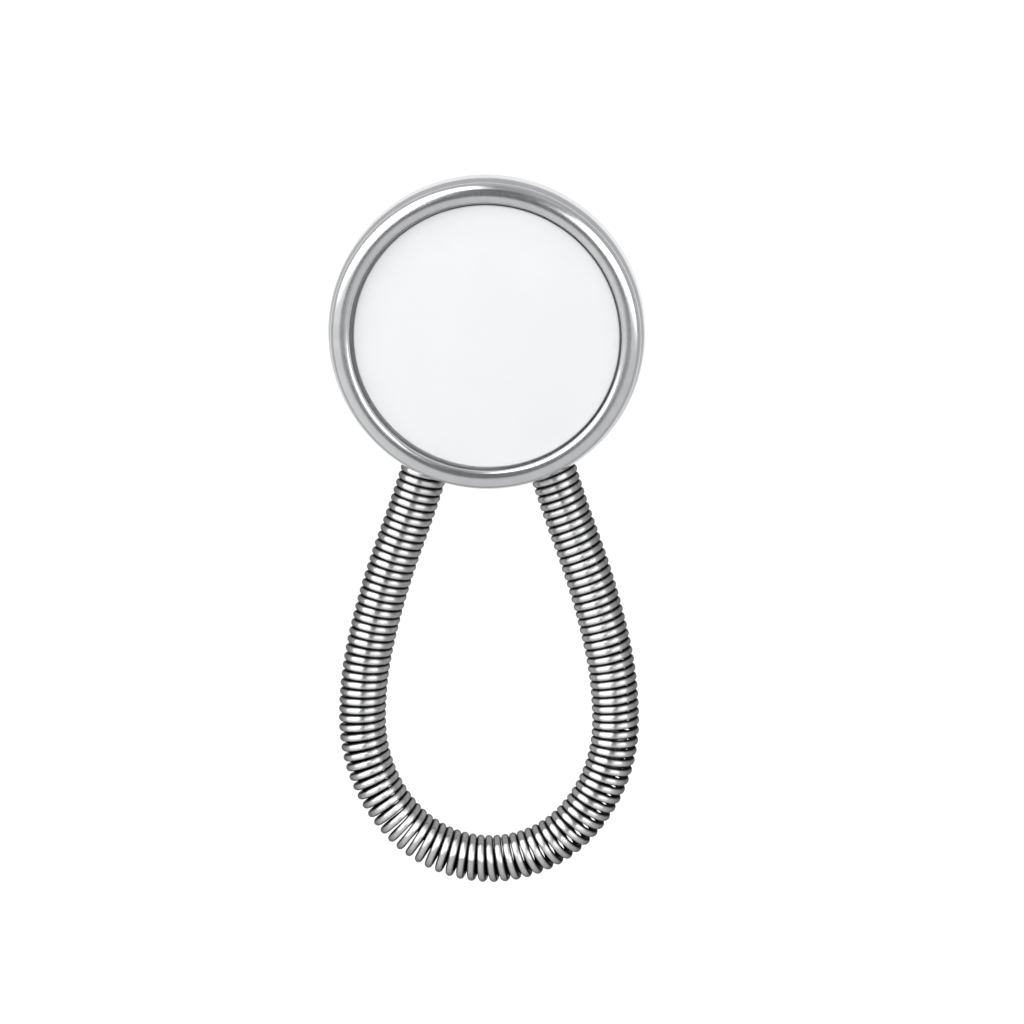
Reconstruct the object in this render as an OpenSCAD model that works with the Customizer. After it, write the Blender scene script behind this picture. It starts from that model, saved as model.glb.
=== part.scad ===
// Metal collar extender: a two-piece stud button with a closed loop of close-wound spring round its post.
// +Z is the button's face and the loop points to -Y. The origin is on the post, at the flange's flat back.

/* [Button] */
// Largest diameter of the button head
head_d = 11.08; // [11.0:0.02:11.4]
// Diameter of the white face that shows inside the rim
face_d = 9.32; // [9.20:0.02:9.36]
// Radius of the rim's outer top corner
outer_round = 0.31; // [0.28:0.01:0.32]
// Radius of the rim's inner top corner
inner_round = 0.15; // [0.13:0.01:0.16]
// Thickness of the drawn cap's wall
cap_wall = 0.22; // [0.15:0.01:0.25]
// Thickness of the white disc
face_t = 0.40; // [0.38:0.01:0.44]
// Thickness of the board behind the white disc
pad_t = 0.12; // [0.10:0.01:0.14]

/* [Stud] */
// Diameter of the rear flange
flange_d = 8.0; // [7.0:0.1:8.5]
// Thickness of the rear flange and of the closing plate
plate_t = 0.40; // [0.35:0.01:0.40]
// Diameter of the post inside the loop
post_d = 1.24; // [1.16:0.01:1.28]
// Free height between the rear flange and the head
gap_h = 1.85; // [1.80:0.01:2.00]

/* [Spring] */
// Diameter of the spring wire
wire_d = 0.27; // [0.24:0.01:0.28]
// Outer diameter of the coil
coil_d = 1.68; // [1.60:0.01:1.70]
// Spacing of the turns on the inside of a bend
turn_pitch = 0.285; // [0.285:0.005:0.32]

/* [Loop] */
// Radius of the coil's centreline round the post
wrap_r = 1.50; // [1.48:0.01:1.54]
// Radii of the two arcs in which a limb leaves the post and spreads
spread_r = [18.0, 49.0];
// Turns of those two arcs, in degrees
spread_turn = [17.0, 3.0];
// Radii of the two arcs in which a limb comes back to parallel
return_r = [29.0, 13.2];
// Turn of the first of those two arcs, in degrees
return_turn = 7.5; // [5:0.5:10]
// Radius of the shoulder, where the bend begins
shoulder_r = 5.5; // [5.2:0.05:5.7]
// Turn of the shoulder, in degrees
shoulder_turn = 40; // [36:1:50]

/* [Hidden] */
$fn = 64;

// Colours
plated = [0.80, 0.80, 0.82];
bright_steel = [0.66, 0.67, 0.69];
satin_white = [0.96, 0.96, 0.97];
grey_board = [0.72, 0.70, 0.66];

// Heights of the button, from the flange's back
head_z = plate_t + gap_h;
plate_seat_z = head_z + cap_wall;
pad_z = plate_seat_z + plate_t;
disc_z = pad_z + pad_t;
face_z = disc_z + face_t;
crest_z = face_z + 0.29;
crease_z = crest_z - 0.44;
wall_top_z = crest_z - 0.66;
hold_z = crest_z - 0.57;

// Radii of the head
head_r = head_d / 2;
face_r = face_d / 2;
crease_r = head_r - 0.12;
crown_r = 0.80;
crown_at = [head_r - 0.52, crest_z - crown_r];
outer_at = crown_at + (crown_r - outer_round) * facing(77);
inner_at = crown_at + (crown_r - inner_round) * facing(100);
rim_r = inner_at.x - inner_round;
held_r = face_r + 0.26;
plate_r = head_r - cap_wall - 0.16;
lip_r = head_r - 0.95;
slip = 0.02;

// Post and its rivet heads
post_r = post_d / 2;
tenon_r = 0.45;
tail_r = 0.90;
rivet_head_r = 1.5;
rivet_head_t = 0.22;

// Coil
wire_r = wire_d / 2;
turn_r = coil_d / 2 - wire_r;
coil_z = plate_t + gap_h / 2;

// One side of the loop as arcs of [radius, turn], from the top of the wrap to the tip.
// A turn towards the inside of the loop is positive, and the last radius closes the loop on its centreline.
open_arcs = [
    [wrap_r, 90],
    [spread_r[0], -spread_turn[0]],
    [spread_r[1], -spread_turn[1]],
    [return_r[0], return_turn],
    [return_r[1], spread_turn[0] + spread_turn[1] - return_turn],
    [shoulder_r, shoulder_turn]
];
tip_turn = 90 - shoulder_turn;
tip_r = arc_start(len(open_arcs))[0].x / sin(tip_turn);
side_arcs = concat(open_arcs, [[tip_r, tip_turn]]);

// Where the side's rings change from one node to the next, as distances in front of the post
neck_y = 5.4;
upper_y = 8.4;
lower_y = 12.3;
shoulder_y = 16.2;
bend_y = 18.0;

// The spring's nib joint, on the right shoulder
nib_arc = 5;
nib_turn = 12;
nib_r = 0.46;
nib_len = 1.5;

// Unit vector to the right of a heading. A heading is measured clockwise from +X.
function right_of(heading) = [-sin(heading), -cos(heading)];

// Unit vector at an angle in the button's section
function facing(angle) = [cos(angle), sin(angle)];

// [point, heading] after a turn along an arc
function along(at, arc, turn) =
    let (r = arc[0] * sign(arc[1]))
    [at[0] + r * (right_of(at[1]) - right_of(at[1] + turn * sign(arc[1]))), at[1] + turn * sign(arc[1])];

// [point, heading] where an arc of the side starts
function arc_start(k) =
    k == 0 ? [[0, wrap_r], 0] : along(arc_start(k - 1), open_arcs[k - 1], abs(open_arcs[k - 1][1]));

// Number of rings that fit in an arc at the turn pitch, which is kept where the bend is tightest
function rings_in(arc) = floor((arc[0] - turn_r) * abs(arc[1]) * PI / 180 / turn_pitch);

side_rings = [
    for (k = [0:len(side_arcs) - 1])
        let (arc = side_arcs[k], count = rings_in(arc), start = arc_start(k))
            for (i = [0:count - 1])
                along(start, arc, abs(arc[1]) * (i + 0.5) / count)
];

// One turn of the coil, square to the centreline
module coil_turn(at) {
    translate([at[0].x, at[0].y, coil_z])
        rotate([0, 0, -at[1]])
            rotate([0, 90, 0])
                rotate_extrude($fn = 40)
                    translate([turn_r, 0])
                        circle(r = wire_r, $fn = 20);
}

// The right side's turns whose distance in front of the post is from near to far
module side_turns(near, far) {
    for (at = side_rings)
        if (-at[0].y > near && -at[0].y <= far)
            coil_turn(at);
}

module both_sides() {
    children();
    mirror([1, 0, 0])
        children();
}

// Chrome cap drawn from sheet: an upright wall, a shoulder up to a crease, a crowned rim over the disc,
// and a lip turned in under the closing plate
module bezel_cap() {
    edge = 0.06;
    color(plated)
        rotate_extrude()
            difference() {
                union() {
                    polygon(concat(
                        [
                            [lip_r, head_z],
                            [head_r - edge, head_z],
                            [head_r, head_z + edge],
                            [head_r, wall_top_z],
                            [crease_r, crease_z],
                            outer_at + outer_round * facing(-20),
                            outer_at
                        ],
                        [for (angle = [77, 83, 89, 95, 100]) crown_at + crown_r * facing(angle)],
                        [
                            inner_at,
                            [rim_r, inner_at.y],
                            [rim_r, hold_z - 0.1],
                            [lip_r, hold_z - 0.1]
                        ]
                    ));
                    translate(outer_at)
                        circle(r = outer_round);
                    translate(inner_at)
                        circle(r = inner_round);
                }
                polygon([
                    [lip_r - 1, plate_seat_z],
                    [head_r - cap_wall, plate_seat_z],
                    [head_r - cap_wall, wall_top_z],
                    [crease_r - cap_wall, hold_z],
                    [lip_r - 1, hold_z]
                ]);
            }
}

// White disc with a flange that the rim holds from the front. Its edge stands clear of the rim.
module face_disc() {
    flange_z = hold_z - slip;
    bevel = 0.03;
    color(satin_white)
        rotate_extrude()
            polygon([
                [0, disc_z + slip],
                [held_r, disc_z + slip],
                [held_r, flange_z],
                [face_r, flange_z],
                [face_r, face_z - bevel],
                [face_r - bevel, face_z],
                [0, face_z]
            ]);
}

// Board that presses the disc up against the rim
module backing_pad() {
    color(grey_board)
        translate([0, 0, pad_z + slip / 2])
            cylinder(r = held_r, h = pad_t - slip / 2);
}

// Steel plate that closes the head: dished, so that its middle is flush with the cap's lip
module closing_plate() {
    dish_r = lip_r - 0.10;
    color(bright_steel)
        rotate_extrude()
            polygon([
                [tenon_r + slip, head_z],
                [dish_r, head_z],
                [dish_r, plate_seat_z + slip],
                [plate_r, plate_seat_z + slip],
                [plate_r, pad_z],
                [dish_r - plate_t, pad_z],
                [dish_r - plate_t, head_z + plate_t],
                [tenon_r + slip, head_z + plate_t]
            ]);
}

// Shouldered rivet: its head lies inside the button and its tail is spread into the flange's countersink
module post_rivet() {
    head_top_z = head_z + plate_t + rivet_head_t;
    color(bright_steel)
        rotate_extrude()
            polygon([
                [0, 0],
                [tail_r, 0],
                [tenon_r, tail_r - tenon_r],
                [tenon_r, plate_t],
                [post_r, plate_t],
                [post_r, head_z],
                [tenon_r, head_z],
                [tenon_r, head_z + plate_t],
                [rivet_head_r, head_z + plate_t],
                [rivet_head_r, head_top_z - 0.08],
                [rivet_head_r - 0.10, head_top_z],
                [0, head_top_z]
            ]);
}

// Rear flange with softened edges and a countersunk hole
module back_flange() {
    flange_r = flange_d / 2;
    edge = 0.14;
    color(plated)
        rotate_extrude()
            difference() {
                union() {
                    square([flange_r - edge, plate_t]);
                    translate([0, edge])
                        square([flange_r, plate_t - 2 * edge]);
                    for (z = [edge, plate_t - edge])
                        translate([flange_r - edge, z])
                            circle(r = edge);
                }
                translate([-1, -1])
                    square([1 + tenon_r + slip, plate_t + 2]);
                polygon([
                    [0, -slip],
                    [tail_r + 2 * slip, -slip],
                    [tail_r + slip, 0],
                    [tenon_r + slip, tail_r - tenon_r],
                    [0, tail_r - tenon_r]
                ]);
            }
}

// The turns that go round the post and run out to the head's edge
module coil_wrap() {
    color(plated)
        both_sides()
            side_turns(-2 * wrap_r, neck_y);
}

module right_neck() {
    color(plated)
        side_turns(neck_y, upper_y);
}

module left_neck() {
    mirror([1, 0, 0])
        right_neck();
}

module right_limb_upper() {
    color(plated)
        side_turns(upper_y, lower_y);
}

module left_limb_upper() {
    mirror([1, 0, 0])
        right_limb_upper();
}

module right_limb_lower() {
    color(plated)
        side_turns(lower_y, shoulder_y);
}

module left_limb_lower() {
    mirror([1, 0, 0])
        right_limb_lower();
}

module right_shoulder() {
    color(plated)
        side_turns(shoulder_y, bend_y);
}

module left_shoulder() {
    mirror([1, 0, 0])
        right_shoulder();
}

// The turns at the tip, where the loop pulls on the shirt's own button
module coil_bend() {
    color(plated)
        both_sides()
            side_turns(bend_y, 2 * bend_y);
}

// Plug inside the coil that joins its two ends into a ring
module spring_nib() {
    at = along(arc_start(nib_arc), side_arcs[nib_arc], nib_turn);
    taper = 0.12;
    color(bright_steel)
        translate([at[0].x, at[0].y, coil_z])
            rotate([0, 0, -at[1]])
                rotate([0, 90, 0])
                    translate([0, 0, -nib_len / 2])
                        rotate_extrude($fn = 32)
                            polygon([
                                [0, 0],
                                [nib_r - taper, 0],
                                [nib_r, taper * 2],
                                [nib_r, nib_len - taper * 2],
                                [nib_r - taper, nib_len],
                                [0, nib_len]
                            ]);
}

bezel_cap();
face_disc();
backing_pad();
closing_plate();
post_rivet();
back_flange();
coil_wrap();
left_neck();
right_neck();
left_limb_upper();
right_limb_upper();
left_limb_lower();
right_limb_lower();
left_shoulder();
right_shoulder();
coil_bend();
spring_nib();
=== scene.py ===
"""Collar button extender: a white-faced chrome button on a closed loop of coil spring.

Objects are in metres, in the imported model's frame. Sections, arcs and the coil are worked
out in millimetres.
"""

import math

import bpy
import numpy as np
from mathutils import Matrix, Vector


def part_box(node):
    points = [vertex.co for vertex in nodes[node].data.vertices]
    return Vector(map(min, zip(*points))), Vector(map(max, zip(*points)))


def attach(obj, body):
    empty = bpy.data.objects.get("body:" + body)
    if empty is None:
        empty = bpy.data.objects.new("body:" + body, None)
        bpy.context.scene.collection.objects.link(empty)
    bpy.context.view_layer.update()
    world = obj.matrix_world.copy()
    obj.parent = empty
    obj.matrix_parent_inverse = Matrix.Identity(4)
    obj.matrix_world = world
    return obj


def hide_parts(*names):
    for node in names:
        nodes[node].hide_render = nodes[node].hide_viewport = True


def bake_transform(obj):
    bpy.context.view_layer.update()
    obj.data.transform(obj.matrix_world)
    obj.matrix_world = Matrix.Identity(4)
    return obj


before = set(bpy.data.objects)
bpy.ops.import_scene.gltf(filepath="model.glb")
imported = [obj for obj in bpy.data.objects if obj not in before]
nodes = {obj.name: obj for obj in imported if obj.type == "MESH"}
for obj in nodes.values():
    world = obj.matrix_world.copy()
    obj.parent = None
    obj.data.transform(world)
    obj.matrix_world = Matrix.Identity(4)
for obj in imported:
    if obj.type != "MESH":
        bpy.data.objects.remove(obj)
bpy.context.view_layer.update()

MM = 0.001


def top_of(node):
    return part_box(node)[1].z / MM


def foot_of(node):
    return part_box(node)[0].z / MM


def radius_of(node):
    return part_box(node)[1].x / MM


face_top = top_of("face_disc")

# ---------------------------------------------------------------- shader nodes


def principled(name, metallic):
    """A Principled material, with its node tree and shader."""
    m = bpy.data.materials.new(name)
    m.use_nodes = True
    shader = m.node_tree.nodes["Principled BSDF"]
    shader.inputs["Metallic"].default_value = metallic
    return m, m.node_tree, shader


def grey(value):
    return (value,) * 3


def vector_math(tree, operation, first, second=None):
    """A vector operation on a socket and, where it takes one, a constant vector."""
    n = tree.nodes.new("ShaderNodeVectorMath")
    n.operation = operation
    tree.links.new(first, n.inputs[0])
    if second:
        n.inputs[1].default_value = second
    return n.outputs["Value" if operation in ("LENGTH", "DISTANCE") else "Vector"]


def coordinates(tree, kind):
    return tree.nodes.new("ShaderNodeTexCoord").outputs[kind]


def in_millimetres(tree, stretch=(1, 1, 1)):
    """Object coordinates in millimetres, stretched along the axes."""
    return vector_math(
        tree, "MULTIPLY", coordinates(tree, "Object"), tuple(s / MM for s in stretch)
    )


def axes_of(tree, vector):
    """The X, Y and Z sockets of a vector."""
    split = tree.nodes.new("ShaderNodeSeparateXYZ")
    tree.links.new(vector, split.inputs[0])
    return split.outputs


def stored(tree, name, output="Fac"):
    """A value that the mesh stores at its points."""
    n = tree.nodes.new("ShaderNodeAttribute")
    n.attribute_name = name
    return n.outputs[output]


def noise(tree, where, scale, detail=3.0, roughness=0.55):
    n = tree.nodes.new("ShaderNodeTexNoise")
    n.inputs["Scale"].default_value = scale
    n.inputs["Detail"].default_value = detail
    n.inputs["Roughness"].default_value = roughness
    tree.links.new(where, n.inputs["Vector"])
    return n.outputs["Fac"]


# Nearly all of a noise texture's values lie between these.
NOISE_LOW, NOISE_HIGH = 0.3, 0.7


def spread(tree, value, low, high, from_low=NOISE_LOW, from_high=NOISE_HIGH):
    """value mapped from its usual range to low..high, and held there outside the range."""
    r = tree.nodes.new("ShaderNodeMapRange")
    r.inputs["From Min"].default_value = from_low
    r.inputs["From Max"].default_value = from_high
    r.inputs["To Min"].default_value = low
    r.inputs["To Max"].default_value = high
    tree.links.new(value, r.inputs["Value"])
    return r.outputs["Result"]


def product(tree, first, second):
    both = tree.nodes.new("ShaderNodeMath")
    both.operation = "MULTIPLY"
    tree.links.new(first, both.inputs[0])
    tree.links.new(second, both.inputs[1])
    return both.outputs[0]


def band(tree, value, low, high, soft):
    """1 between low and high, falling to 0 over soft outside them."""
    rise = spread(tree, value, 0, 1, low - soft, low)
    fall = spread(tree, value, 1, 0, high, high + soft)
    return product(tree, rise, fall)


def shades(tree, value, stops):
    """A colour ramp over value. stops are (position, colour)."""
    ramp = tree.nodes.new("ShaderNodeValToRGB")
    points = ramp.color_ramp.elements
    while len(points) < len(stops):
        points.new(0.5)
    for point, (at, colour) in zip(points, stops):
        point.position = at
        point.color = (*colour, 1)
    tree.links.new(value, ramp.inputs["Fac"])
    return ramp.outputs["Color"]


def two_tone(tree, value, dark, light):
    """One colour shading into another over a noise texture."""
    return shades(tree, value, [(NOISE_LOW, dark), (NOISE_HIGH, light)])


def mixed(tree, factor, first, second):
    """The socket first where factor is 0, and the colour second where it is 1."""
    mix = tree.nodes.new("ShaderNodeMix")
    mix.data_type = "RGBA"
    tree.links.new(factor, mix.inputs["Factor"])
    colour_a, colour_b = mix.inputs[6], mix.inputs[7]
    tree.links.new(first, colour_a)
    colour_b.default_value = (*second, 1)
    return mix.outputs[2]


def surface(tree, shader, colour, roughness, relief, depth):
    """Gives a shader its colour, its roughness and a relief of that depth in metres."""
    bump = tree.nodes.new("ShaderNodeBump")
    bump.inputs["Distance"].default_value = depth
    tree.links.new(relief, bump.inputs["Height"])
    tree.links.new(bump.outputs["Normal"], shader.inputs["Normal"])
    tree.links.new(colour, shader.inputs["Base Color"])
    tree.links.new(roughness, shader.inputs["Roughness"])


# ---------------------------------------------------------------- materials


def polished_chrome():
    """Chrome plate on the cap: bright, with a faint polishing haze and tiny handling marks."""
    m, tree, shader = principled("cap_chrome", metallic=1.0)
    haze = noise(tree, in_millimetres(tree), scale=1.4, detail=4.0)
    marks = noise(
        tree, in_millimetres(tree, (1, 1, 5)), scale=14.0, detail=5.0, roughness=0.7
    )
    plate = two_tone(tree, haze, (0.57, 0.575, 0.585), (0.625, 0.63, 0.64))
    surface(tree, shader, plate, spread(tree, marks, 0.14, 0.22), marks, depth=0.0000012)
    return m


def wire_chrome():
    """Plated wire drawn along its length, with painted dark reflections on both sides of the
    coil and painted shade in the crevices between its turns."""
    side_shade, crevice_shade = (0.08, 0.08, 0.082), (0.04, 0.04, 0.042)
    m, tree, shader = principled("spring_chrome", metallic=1.0)
    where = in_millimetres(tree)
    patches = noise(tree, where, scale=0.9)
    marks = noise(tree, where, scale=22.0, detail=4.0, roughness=0.65)
    plate = two_tone(tree, patches, (0.57, 0.572, 0.575), (0.645, 0.647, 0.65))
    # Painted dark reflection: the wire's colour darkens towards the inside and the outside of
    # the loop, where its silhouettes show.
    across = spread(tree, stored(tree, "outer"), 0, 1, -1, 1)
    side_shade_stops = [(0.03, grey(0.5)), (0.12, grey(0)), (0.82, grey(0)), (0.94, grey(0.6))]
    side_shaded = mixed(tree, shades(tree, across, side_shade_stops), plate, side_shade)
    # Painted shade: the wire's colour darkens into the crevices between its turns.
    crevice = spread(tree, stored(tree, "crest"), 1, 0, 0.5, 0.88)
    colour = mixed(tree, crevice, side_shaded, crevice_shade)
    surface(tree, shader, colour, spread(tree, marks, 0.29, 0.37), marks, depth=0.0000015)
    shader.inputs["Specular Tint"].default_value = (*grey(0.35), 1)

    # Drawing marks run along the wire, so its highlights spread across it.
    to_world = tree.nodes.new("ShaderNodeVectorTransform")
    to_world.vector_type = "VECTOR"
    to_world.convert_from, to_world.convert_to = "OBJECT", "WORLD"
    tree.links.new(stored(tree, "along", "Vector"), to_world.inputs[0])
    tree.links.new(to_world.outputs[0], shader.inputs["Tangent"])
    shader.inputs["Anisotropic"].default_value = 1.0
    shader.inputs["Anisotropic Rotation"].default_value = 0.25
    return m


def satin_white():
    """Painted white face: satin, with a faint orange peel, and painted shade on its edge down
    in the gap under the rim.
    """
    gap_shade = (0.06, 0.06, 0.062)
    m, tree, shader = principled("face_white", metallic=0.0)
    where = in_millimetres(tree)
    tone = noise(tree, where, scale=0.5)
    peel = noise(tree, where, scale=9.0, detail=4.0, roughness=0.6)
    paint = two_tone(tree, tone, (0.551, 0.56, 0.569), (0.567, 0.576, 0.585))
    # Painted shade: the disc's colour goes near black on its edge, down in the gap under the
    # rim.
    edge = band(tree, axes_of(tree, where)["Z"], face_top - 0.25, face_top - 0.05, 0.02)
    colour = mixed(tree, edge, paint, gap_shade)
    surface(tree, shader, colour, spread(tree, peel, 0.38, 0.5), peel, depth=0.000002)
    shader.inputs["Specular IOR Level"].default_value = 0.3
    return m


def spun_steel(name, colour, smooth, rough):
    """Steel turned or pressed in the round: circular marks and a soft sheen."""
    m, tree, shader = principled(name, metallic=1.0)
    from_axis = vector_math(tree, "LENGTH", in_millimetres(tree, (1, 1, 0)))
    line = tree.nodes.new("ShaderNodeCombineXYZ")
    tree.links.new(from_axis, line.inputs["X"])
    marks = noise(tree, line.outputs[0], scale=26.0, detail=2.0)
    stain = noise(tree, in_millimetres(tree), scale=1.1, detail=4.0)
    stained = two_tone(
        tree, stain, tuple(c * 0.9 for c in colour), tuple(c * 1.06 for c in colour)
    )
    surface(tree, shader, stained, spread(tree, marks, smooth, rough), marks, depth=0.000006)
    return m


def grey_board():
    """Pressed board behind the face, with short fibres."""
    m, tree, shader = principled("pad_board", metallic=0.0)
    fibres = noise(
        tree, in_millimetres(tree, (1, 4, 1)), scale=5.0, detail=6.0, roughness=0.7
    )
    board = two_tone(tree, fibres, (0.30, 0.28, 0.25), (0.5, 0.48, 0.44))
    surface(tree, shader, board, spread(tree, fibres, 0.8, 0.95), fibres, depth=0.00002)
    return m


cap_chrome = polished_chrome()
spring_chrome = wire_chrome()
face_white = satin_white()
plate_steel = spun_steel("plate_steel", (0.56, 0.565, 0.57), 0.2, 0.34)
rivet_steel = spun_steel("rivet_steel", (0.5, 0.5, 0.505), 0.22, 0.4)
pad_board = grey_board()


# ---------------------------------------------------------------- meshes


def finish_mesh(name, points, faces, material, crease):
    """A smooth-shaded object with sharp edges only past the crease angle, in degrees."""
    mesh = bpy.data.meshes.new(name)
    mesh.from_pydata([tuple(p) for p in points], [], faces)
    mesh.validate()
    mesh.polygons.foreach_set("use_smooth", [True] * len(mesh.polygons))
    mesh.set_sharp_from_angle(angle=math.radians(crease))
    mesh.materials.append(material)
    o = bpy.data.objects.new(name, mesh)
    bpy.context.scene.collection.objects.link(o)
    return o


def rounded(corners, steps=6):
    """A closed profile of (r, z) whose corners (r, z, fillet) are replaced with arcs."""
    made = []
    for i, (x, z, fillet) in enumerate(corners):
        here = Vector((x, z))
        if not fillet:
            made.append(tuple(here))
            continue
        before = Vector(corners[i - 1][:2]) - here
        after = Vector(corners[(i + 1) % len(corners)][:2]) - here
        half = before.angle(after) / 2
        reach = min(fillet / math.tan(half), 0.49 * before.length, 0.49 * after.length)
        radius = reach * math.tan(half)
        inward = (before.normalized() + after.normalized()).normalized()
        middle = here + inward * radius / math.sin(half)
        start = here + before.normalized() * reach - middle
        end = here + after.normalized() * reach - middle
        turn = math.atan2(start.x * end.y - start.y * end.x, start.dot(end))
        for k in range(steps + 1):
            cos, sin = math.cos(turn * k / steps), math.sin(turn * k / steps)
            spoke = Vector((start.x * cos - start.y * sin, start.x * sin + start.y * cos))
            made.append(tuple(middle + spoke))
    return made


def arc(centre_r, centre_z, radius, start, end, steps):
    """Points on a circle in the section, from one angle to another, in degrees."""
    return [
        (centre_r + radius * math.cos(a), centre_z + radius * math.sin(a))
        for a in np.radians(np.linspace(start, end, steps))
    ]


def lathe(name, profile, material, segments):
    """A closed profile of (r, z) turned round the button's axis."""
    points, rings = [], []
    for r, z in profile:
        if r < 1e-6:
            rings.append([len(points)])
            points.append((0, 0, z * MM))
            continue
        rings.append(range(len(points), len(points) + segments))
        for k in range(segments):
            a = 2 * math.pi * k / segments
            points.append((r * MM * math.cos(a), r * MM * math.sin(a), z * MM))
    faces = []
    for i, low in enumerate(rings):
        high = rings[(i + 1) % len(rings)]
        if len(low) == 1 and len(high) == 1:
            continue
        for k in range(segments):
            n = (k + 1) % segments
            if len(low) == 1:
                faces.append((low[0], high[n], high[k]))
            elif len(high) == 1:
                faces.append((low[k], low[n], high[0]))
            else:
                faces.append((low[k], low[n], high[n], high[k]))
    return finish_mesh(name, points, faces, material, crease=35)


def turned(name, node, profile, material, segments=288):
    """A turned piece of the button, in the place of a node."""
    piece = lathe(name, profile, material, segments)
    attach(piece, "button")
    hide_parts(node)
    return piece


# ---------------------------------------------------------------- button

cap_foot, crest = foot_of("bezel_cap"), top_of("bezel_cap")
widest = radius_of("bezel_cap")
wall = 0.22
wall_top = crest - 0.66
lip_r, lip_top = widest - 0.95, cap_foot + wall

# The rim's section: a shallow crown between a round outer corner and a tighter inner one,
# each as (r, z, radius). They meet at two angles.
OUTER_CORNER = (widest - 0.41, crest - 0.323, 0.31)
CROWN = (widest - 0.52, crest - 0.80, 0.80)
INNER_CORNER = (widest - 0.634, crest - 0.16, 0.15)
CROWN_START, CROWN_END = 77, 100

rim_r = INNER_CORNER[0] - INNER_CORNER[2]
hold_z = crest - 0.57
cap_profile = (
    rounded(
        [
            (lip_r, lip_top, 0.05),
            (lip_r, cap_foot, 0.06),
            (widest, cap_foot, 0.06),
            (widest, wall_top, 0.45),
            (widest - 0.12, crest - 0.44, 0),
        ]
    )
    + arc(*OUTER_CORNER, -20, CROWN_START, 20)
    + arc(*CROWN, CROWN_START, CROWN_END, 12)
    + arc(*INNER_CORNER, CROWN_END, 180, 14)
    + [
        (rim_r, hold_z),
        (widest - 0.34, hold_z),
        (widest - wall, wall_top),
        (widest - wall, lip_top),
    ]
)
turned("bezel_ring", "bezel_cap", cap_profile, cap_chrome)

# The disc is held under the rim by its edge, and lies a little off centre in the cap.
disc_foot, disc_r = foot_of("face_disc"), rim_r - 0.095
held_r, held_top = disc_r + 0.26, hold_z - 0.01
DISC_PLAY = Vector((0.030, -0.018, 0))
disc_profile = rounded(
    [
        (0, disc_foot, 0),
        (held_r, disc_foot, 0.02),
        (held_r, held_top, 0.02),
        (disc_r - 0.01, held_top, 0.02),
        (disc_r, face_top, 0.06),
        (0, face_top, 0),
    ]
)
disc = turned("face_panel", "face_disc", disc_profile, face_white)
disc.data.transform(Matrix.Translation(DISC_PLAY * MM))

# The closing plate is a dish with a ring pressed up in its floor, over the cap's lip.
plate_foot, plate_top = foot_of("closing_plate"), top_of("closing_plate")
plate_r = radius_of("closing_plate")
plate_t = plate_top - lip_top
plate_floor = plate_foot + plate_t
dish_r, dish_inner_r = lip_r - 0.10, lip_r - 0.10 - plate_t
hole_r, press = 0.47, 0.05
plate_profile = rounded(
    [
        (hole_r, plate_foot, 0),
        (2.0, plate_foot, 0.2),
        (2.1, plate_foot + press, 0.2),
        (3.6, plate_foot + press, 0.2),
        (3.7, plate_foot, 0.2),
        (dish_r, plate_foot, 0.12),
        (dish_r, lip_top + 0.02, 0.03),
        (plate_r, lip_top + 0.02, 0.05),
        (plate_r, plate_top, 0.05),
        (dish_inner_r, plate_top, 0.05),
        (dish_inner_r, plate_floor, 0.08),
        (hole_r, plate_floor, 0),
    ]
)
turned("rear_plate", "closing_plate", plate_profile, plate_steel)

# The flange has a groove round its back and a countersunk hole for the rivet.
flange_r, flange_t = radius_of("back_flange"), top_of("back_flange")
groove = 0.03
flange_profile = rounded(
    [
        (0.92, 0.0, 0.02),
        (flange_r - 0.9, 0.0, 0.1),
        (flange_r - 0.8, groove, 0.1),
        (flange_r - 0.6, groove, 0.1),
        (flange_r - 0.5, 0.0, 0.1),
        (flange_r, 0.0, 0.17),
        (flange_r, flange_t, 0.17),
        (hole_r, flange_t, 0.0),
        (hole_r, 0.45, 0.0),
    ]
)
turned("rear_flange", "back_flange", flange_profile, cap_chrome)

# The post is a shouldered rivet: closed in the flange's countersink and over the plate.
post_r, shank_r, head_r = 0.62, 0.45, 1.5
post_profile = rounded(
    [
        (0, 0.03, 0),
        (0.34, 0.03, 0.05),
        (0.42, 0.0, 0.05),
        (0.88, 0.0, 0.03),
        (shank_r, 0.43, 0),
        (shank_r, flange_t, 0),
        (post_r, flange_t, 0.03),
        (post_r, plate_foot, 0.03),
        (shank_r, plate_foot, 0),
        (shank_r, plate_floor, 0),
        (head_r, plate_floor, 0.02),
        (head_r, plate_floor + 0.16, 0.1),
        (head_r - 0.2, plate_floor + 0.22, 0.1),
        (0, plate_floor + 0.22, 0),
    ]
)
turned("post", "post_rivet", post_profile, rivet_steel, segments=128)

# These two keep their CAD shape.
for node, material in (("backing_pad", pad_board), ("spring_nib", rivet_steel)):
    nodes[node].data.materials.clear()
    nodes[node].data.materials.append(material)


# ---------------------------------------------------------------- spring

pitch = 0.285
coil_r = 0.84
wire_r = 0.1415
turn_r = coil_r - wire_r
coil_z = (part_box("coil_wrap")[0].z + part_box("coil_wrap")[1].z) / 2 / MM

# One side of the loop as arcs of (radius, turn in degrees), from the top of the wrap round
# the post to the tip. A turn towards the inside is positive.
SIDE_ARCS = [(1.5, 90), (18, -17), (49, -3), (29, 7.5), (13.2, 12.5), (5.5, 40)]


def arc_end(at, heading, radius, turn):
    """Where an arc ends, and its heading there. Headings are clockwise from +X."""
    rho = math.copysign(radius, turn)
    a, b = math.radians(heading), math.radians(heading + turn)
    step = rho * Vector((math.sin(b) - math.sin(a), math.cos(b) - math.cos(a)))
    return at + step, heading + turn


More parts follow.
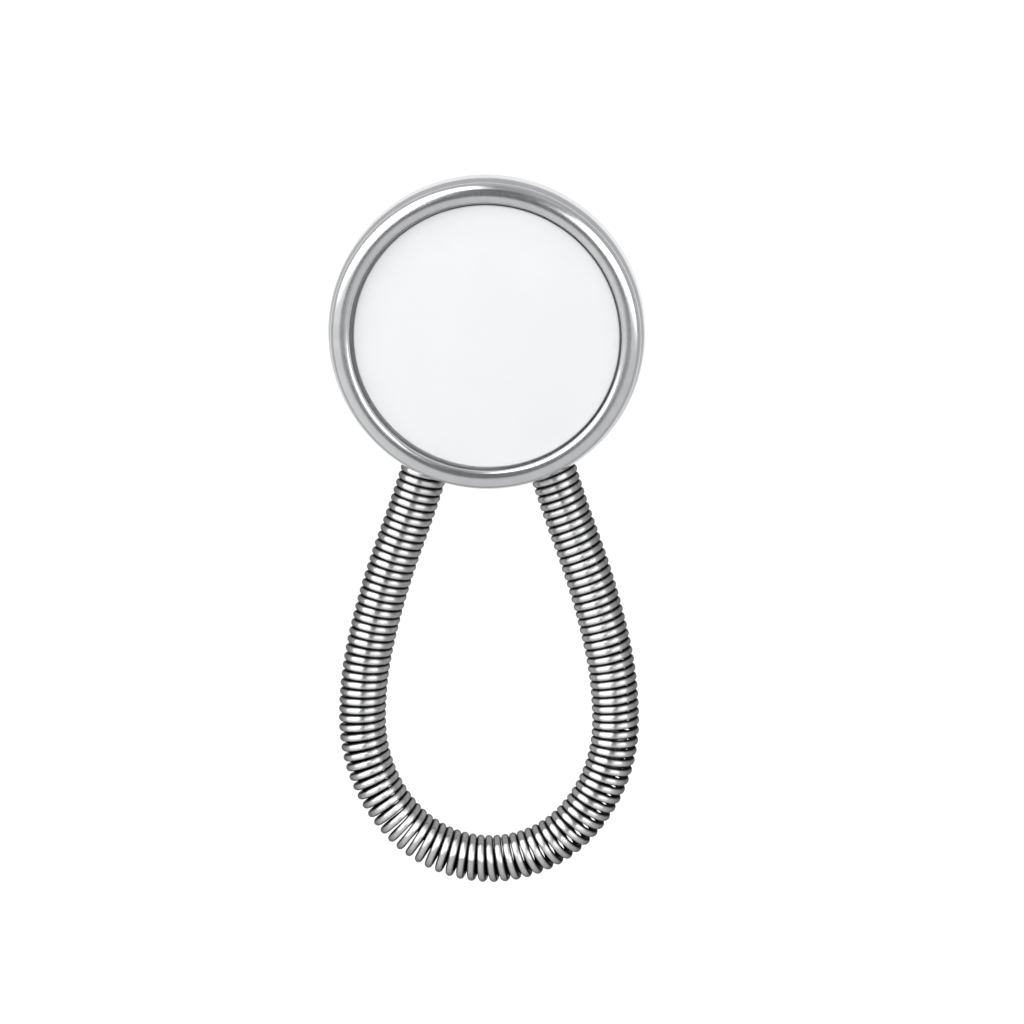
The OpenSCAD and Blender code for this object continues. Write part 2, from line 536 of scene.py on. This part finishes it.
def side_of_loop():
    """The side's arcs as (start, heading, radius, turn), closed on x = 0 by one more."""
    at, heading, arcs = Vector((0, SIDE_ARCS[0][0])), 0.0, []
    for radius, turn in SIDE_ARCS:
        arcs.append((at, heading, radius, turn))
        at, heading = arc_end(at, heading, radius, turn)
    left = 90 - SIDE_ARCS[-1][1]
    arcs.append((at, heading, at.x / math.sin(math.radians(left)), left))
    return arcs


ARCS = side_of_loop()
LENGTHS = [radius * math.radians(abs(turn)) for _, _, radius, turn in ARCS]
HALF = sum(LENGTHS)


def on_side(s):
    """(x, y, heading, curvature) at s from the top of the wrap, on the right side."""
    for i, ((at, heading, radius, turn), length) in enumerate(zip(ARCS, LENGTHS)):
        if s <= length or i == len(ARCS) - 1:
            part = min(s, length) / length
            point, now = arc_end(at, heading, radius, turn * part)
            return point.x, point.y, now, math.copysign(1 / radius, turn)
        s -= length


# The loop's centreline, sampled finely, with the coil's phase at each sample: the pitch is
# kept on the inside of each bend. The curvature is smoothed over SMOOTHING samples.
SAMPLES, SMOOTHING = 24001, 121
fine = np.linspace(-HALF, HALF, SAMPLES)
track = np.array([on_side(abs(s)) for s in fine])
track[:, 0] *= np.sign(fine)
headings = np.radians(np.where(fine < 0, -track[:, 2], track[:, 2]))
bend = np.pad(np.abs(track[:, 3]), SMOOTHING // 2, mode="edge")
bend = np.convolve(bend, np.ones(SMOOTHING) / SMOOTHING, "valid")
rate = 2 * math.pi * (1 - turn_r * bend) / pitch
phase = np.concatenate([[0], np.cumsum((rate[1:] + rate[:-1]) / 2 * np.diff(fine))])
TURNS = round(phase[-1] / (2 * math.pi))
phase *= TURNS * 2 * math.pi / phase[-1]


def coil_at(turns):
    """Points on the loop's centreline, and the ways out from them to the wire, at these
    numbers of turns from the tip, clockwise round the whole loop."""
    p = turns * 2 * math.pi
    s = np.interp(np.mod(p, phase[-1]), phase, fine)
    h = np.interp(s, fine, headings)
    x, y = np.interp(s, fine, track[:, 0]), np.interp(s, fine, track[:, 1])
    middle = np.stack([x, y, np.full(len(p), coil_z)], 1)
    out = np.stack([-np.cos(p) * np.sin(h), -np.cos(p) * np.cos(h), -np.sin(p)], 1)
    return middle, out


def wire_point(turns):
    """Points on the wire's centreline."""
    middle, out = coil_at(turns)
    return middle + turn_r * out


def turns_at(side, y):
    """The number of turns where the centreline passes y on that side, past the post."""
    rows = np.nonzero((np.sign(fine) == side) & (track[:, 1] > y))[0]
    row = rows[-1] if side > 0 else rows[0]
    return round(phase[row] / (2 * math.pi))


STEPS_PER_TURN, SIDES = 30, 12


def unit(vectors):
    return vectors / np.linalg.norm(vectors, axis=1)[:, None]


def wire(name, start, end):
    """Round wire along the coil from one number of turns to another. It stores "crest", 1
    on the outside of each turn and -1 inside it, "outer", 1 on the outside of the loop and
    -1 inside it, and "along", the wire's own direction. It returns the object and the
    centres of its sections."""
    count = round((end - start) * STEPS_PER_TURN) + 1
    turns = np.linspace(start, end, count)
    centre = wire_point(turns)
    ahead = unit(wire_point(turns + 1e-3) - wire_point(turns - 1e-3))
    _, out = coil_at(turns)
    out = unit(out - ahead * np.sum(out * ahead, 1)[:, None])
    side = np.cross(ahead, out)
    a = np.linspace(0, 2 * math.pi, SIDES, endpoint=False)
    rings = (
        centre[:, None, :]
        + wire_r * np.cos(a)[None, :, None] * out[:, None, :]
        + wire_r * np.sin(a)[None, :, None] * side[:, None, :]
    )
    i, j = np.meshgrid(np.arange(count - 1), np.arange(SIDES), indexing="ij")
    n = (j + 1) % SIDES
    faces = np.stack(
        [i * SIDES + j, i * SIDES + n, (i + 1) * SIDES + n, (i + 1) * SIDES + j], -1
    )
    o = finish_mesh(
        name,
        rings.reshape(-1, 3) * MM,
        faces.reshape(-1, 4).tolist(),
        spring_chrome,
        crease=80,
    )
    crests = np.tile(np.cos(a), count)
    outers = np.repeat(-np.cos(turns * 2 * math.pi), SIDES)
    ways = np.repeat(ahead, SIDES, axis=0).ravel()
    for word, kind, key, values in (
        ("crest", "FLOAT", "value", crests),
        ("outer", "FLOAT", "value", outers),
        ("along", "FLOAT_VECTOR", "vector", ways),
    ):
        o.data.attributes.new(word, kind, "POINT").data.foreach_set(key, values)
    return o, np.repeat(centre, SIDES, axis=0) * MM


def stretch_between(o, centres):
    """Sets a wire's points to the centres of its sections, applies the object's transform to
    them and resets it, then puts the first points back."""
    points = np.empty(len(o.data.vertices) * 3)
    o.data.vertices.foreach_get("co", points)
    o.data.vertices.foreach_set("co", centres.ravel())
    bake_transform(o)
    o.data.vertices.foreach_set("co", points)
    o.data.update()


# Where the pieces of spring meet: at the head's edge, below the necks and where the tip
# begins.
NECK_Y, LIMB_Y, TIP_Y, BEND_Y = -5.4, -8.4, -16.2, -19.0
CUT = {
    (side, y): turns_at(side, y) for side in (-1, 1) for y in (NECK_Y, LIMB_Y, TIP_Y)
}

wrap, _ = wire("spring_wrap", CUT[-1, NECK_Y], CUT[1, NECK_Y])
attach(wrap, "loop_root")
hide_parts("coil_wrap")

for side, word in ((-1, "left"), (1, "right")):
    first, last = sorted((CUT[side, NECK_Y], CUT[side, LIMB_Y]))
    neck, centres = wire(f"spring_{word}_neck", first, last)
    stretch_between(neck, centres)
    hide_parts(f"{word}_neck")
    first, last = sorted((CUT[side, LIMB_Y], CUT[side, TIP_Y]))
    limb, centres = wire(f"spring_{word}_limb", first, last)
    stretch_between(limb, centres)
    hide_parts(f"{word}_limb_upper", f"{word}_limb_lower")

tip, centres = wire("spring_tip", CUT[1, TIP_Y], CUT[-1, TIP_Y] + TURNS)
stretch_between(tip, centres)
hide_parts("left_shoulder", "right_shoulder", "coil_bend")


# ---------------------------------------------------------------- camera

# A long lens almost overhead. The aim is a point on the axis, moved across the picture.
TILT, TURN = math.radians(12), math.radians(14)
AIM_Z, AIM_RIGHT, AIM_UP = 2.6, 0.878, -6.294
FRAME_WIDTH, DISTANCE, SENSOR = 35.80, 400.0, 36.0
to_camera = Vector(
    (math.sin(TILT) * math.sin(TURN), math.sin(TILT) * math.cos(TURN), math.cos(TILT))
)
up = (Vector((0, 1, 0)) - to_camera * to_camera.y).normalized()
right = up.cross(to_camera)
aim = Vector((0, 0, AIM_Z)) + AIM_RIGHT * right + AIM_UP * up

camera_data = bpy.data.cameras.new("camera")
camera_data.sensor_width = SENSOR
camera_data.lens = SENSOR * DISTANCE / FRAME_WIDTH
camera_data.clip_start, camera_data.clip_end = 0.01, 20.0
camera = bpy.data.objects.new("camera", camera_data)
bpy.context.scene.collection.objects.link(camera)
camera.location = (aim + to_camera * DISTANCE) * MM
camera.rotation_euler = Matrix((right, up, to_camera)).transposed().to_euler()
bpy.context.scene.camera = camera


# ---------------------------------------------------------------- studio

# Radiance round the compass as (share of the way round from -X by way of -Y, radiance):
# a bright panel over the upper left, a second one on the right, a dark gap above and a
# paler front.
PEAK = 4.2
COMPASS = [
    (0.00, 1.00),
    (0.13, 0.98),
    (0.22, 0.80),
    (0.46, 0.80),
    (0.495, 3.70),
    (0.61, 3.70),
    (0.635, 0.45),
    (0.760, 0.42),
    (0.785, 4.20),
    (0.975, 4.20),
    (1.00, 1.00),
]

# A dim slot overhead, as (from, to, soft edge) in the direction's X and Y.
SLOT_X, SLOT_Y = (-0.22, 0.14, 0.06), (-0.16, 0.60, 0.08)

# Both panels end above the table, over a range of the direction's Z, the right one higher
# up. The right side sets in over a range of X.
PANEL_FOOT, RIGHT_FOOT, RIGHT_X = (0.04, 0.18), (0.38, 0.56), (0.1, 0.4)

# Radiance in the slot, below the right panel and below both.
SLOT_LIGHT, RIGHT_LOW_LIGHT, LOW_LIGHT = 0.16, 0.7, 0.42

world = bpy.data.worlds.new("studio")
bpy.context.scene.world = world
world.use_nodes = True
tree = world.node_tree
direction = coordinates(tree, "Generated")
compass = tree.nodes.new("ShaderNodeTexGradient")
compass.gradient_type = "RADIAL"
tree.links.new(direction, compass.inputs["Vector"])
light = shades(tree, compass.outputs["Fac"], [(at, grey(v / PEAK)) for at, v in COMPASS])
axes = axes_of(tree, direction)

slot = product(tree, band(tree, axes["X"], *SLOT_X), band(tree, axes["Y"], *SLOT_Y))
light = mixed(tree, slot, light, grey(SLOT_LIGHT / PEAK))
right_low = product(
    tree,
    spread(tree, axes["X"], 0, 1, *RIGHT_X),
    spread(tree, axes["Z"], 1, 0, *RIGHT_FOOT),
)
light = mixed(tree, right_low, light, grey(RIGHT_LOW_LIGHT / PEAK))
low = spread(tree, axes["Z"], 1, 0, *PANEL_FOOT)
light = mixed(tree, low, light, grey(LOW_LIGHT / PEAK))

background = tree.nodes["Background"]
background.inputs["Strength"].default_value = PEAK
tree.links.new(light, background.inputs["Color"])

# A painted pool of light under the object: the floor is paler and glows inside a circle,
# fading out onto a wide grey table. All in metres.
TABLE_HALF, FLOOR_Z = 1.2, -0.028
PAD_CENTRE = (0, -0.0125, FLOOR_Z)
PAD_R, PAD_FADE_R = 0.027, 0.052
POOL_GLOW = 0.24

floor_mesh = bpy.data.meshes.new("floor")
floor_mesh.from_pydata(
    [
        (x * TABLE_HALF, y * TABLE_HALF, FLOOR_Z)
        for x, y in ((-1, -1), (1, -1), (1, 1), (-1, 1))
    ],
    [],
    [(0, 1, 2, 3)],
)
floor = bpy.data.objects.new("floor", floor_mesh)
bpy.context.scene.collection.objects.link(floor)

floor_white, tree, shader = principled("floor_white", metallic=0.0)
# Painted pool of light: a paler colour and a glow near the object, fading with distance.
from_middle = vector_math(tree, "DISTANCE", coordinates(tree, "Object"), PAD_CENTRE)
away = spread(tree, from_middle, 0, 1, PAD_R, PAD_FADE_R)
painted_pool = shades(tree, away, [(0.0, grey(0.55)), (1.0, (0.39, 0.39, 0.395))])
tree.links.new(painted_pool, shader.inputs["Base Color"])
tree.links.new(spread(tree, away, POOL_GLOW, 0, 0, 1), shader.inputs["Emission Strength"])
shader.inputs["Emission Color"].default_value = (1, 1, 1, 1)
shader.inputs["Roughness"].default_value = 0.9
floor_mesh.materials.append(floor_white)

bpy.context.scene.view_settings.view_transform = "Standard"
